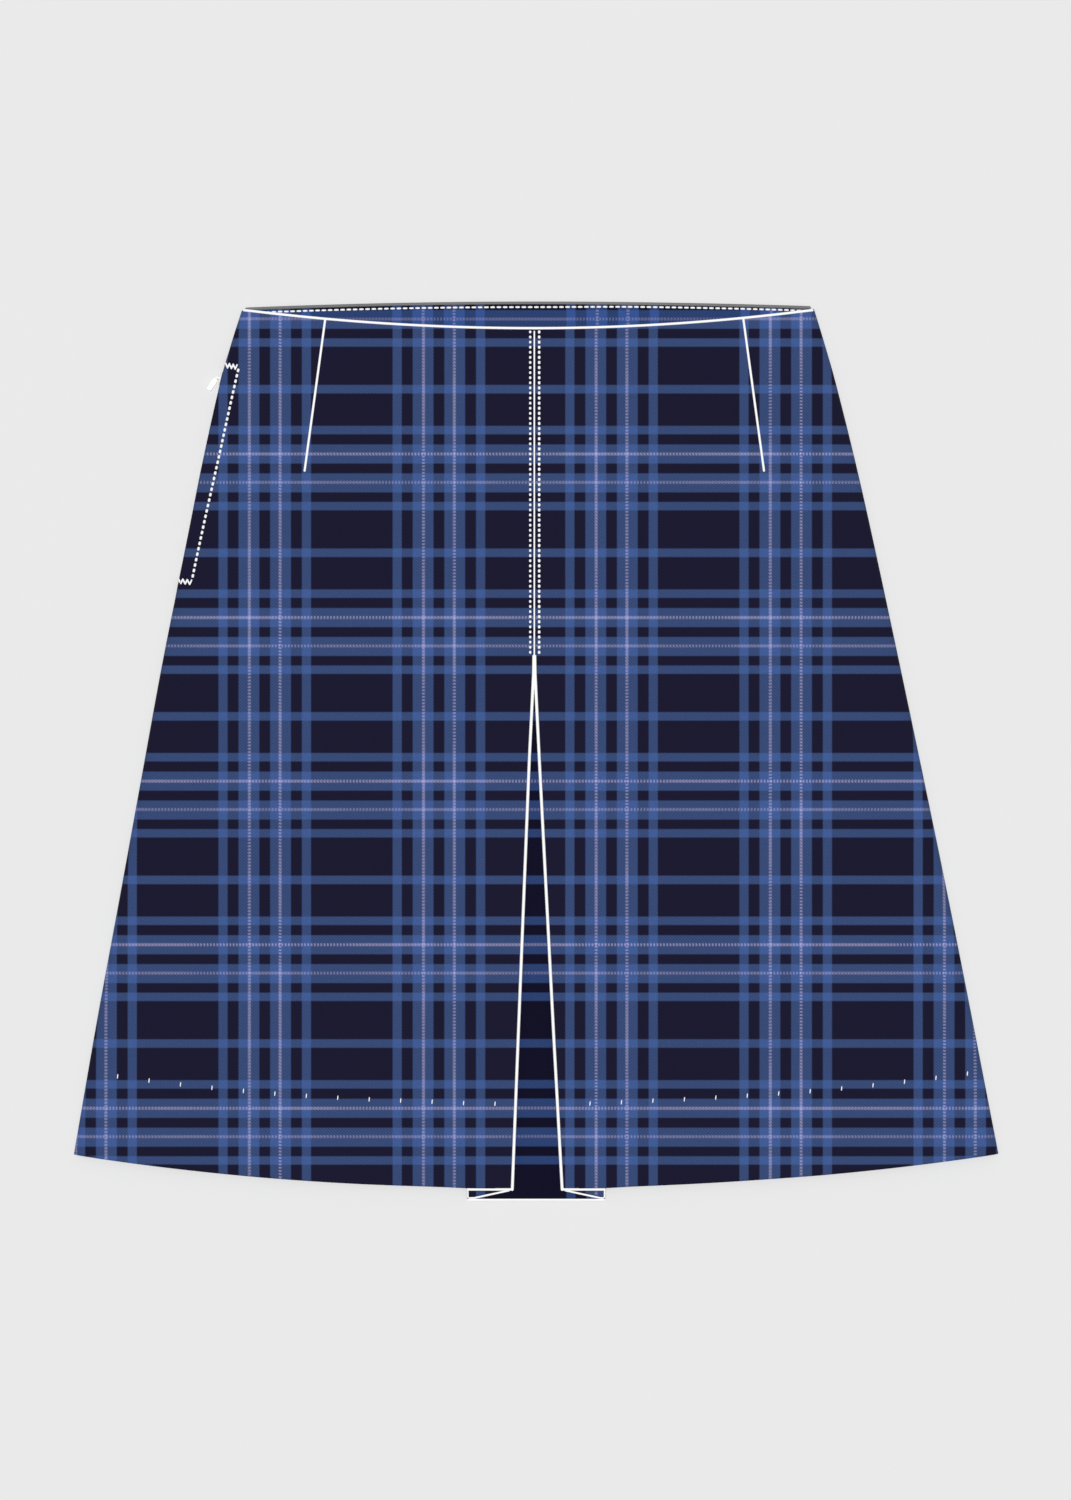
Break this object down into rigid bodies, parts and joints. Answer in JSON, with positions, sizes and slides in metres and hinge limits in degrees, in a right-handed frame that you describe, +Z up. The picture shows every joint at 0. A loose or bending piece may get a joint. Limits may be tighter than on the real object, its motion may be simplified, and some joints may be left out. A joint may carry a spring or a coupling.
{
  "type": "checked skirt",
  "caption": "Checked A-line skirt with an inverted front pleat, darts, white piping and a zipped side pocket, laid flat on its back.",
  "frame": {"origin": "on the surface the skirt lies on, under the middle of its outline", "axes": "+X to the wearer's left, +Y towards the waist, +Z up from the surface"},
  "size_m": [0.5414, 0.5264, 0.0059],
  "materials": {
    "check_cloth": "matt woven suiting in a navy and blue check with fine pink lines",
    "check_cloth_inside": "the same woven check, in the shade of the folds",
    "white_piping": "matt white twisted cotton cord",
    "grey_piping": "matt grey twisted cotton cord",
    "pocketing": "plain matt navy pocket lining",
    "zip_tape": "matt woven navy zip tape",
    "zip_plastic": "satin white moulded plastic"
  },
  "bodies": {
    "skirt": {"back_panel": "check_cloth", "front_panel_right": "check_cloth", "front_panel_left": "check_cloth", "pleat_underlay": "check_cloth_inside", "back_facing": "check_cloth_inside", "front_waist_piping": "white_piping", "back_waist_piping": "grey_piping", "centre_seam_piping": "white_piping", "underlay_hem_piping": "white_piping", "pleat_piping_right": "white_piping", "pleat_piping_left": "white_piping", "return_hem_piping_right": "white_piping", "return_hem_piping_left": "white_piping", "front_hem_piping_right": "white_piping", "front_hem_piping_left": "white_piping", "dart_right": "white_piping", "dart_left": "white_piping", "pocket_bag": "pocketing", "pocket_zip_tape": "zip_tape", "pocket_zip_chain": "zip_plastic", "opening_zip_tape": "zip_tape", "pocket_zip_slider": "zip_plastic"},
    "pull_tab": {"pocket_zip_pull": "zip_plastic"}
  },
  "joints": [
    {"name": "pull_swing", "type": "hinge", "parent": "skirt", "child": "pull_tab", "pos_m": [-0.18678, 0.21893, 0.0021], "axis": [0, 0, 1], "range_deg": [-140, 15]}
  ]
}
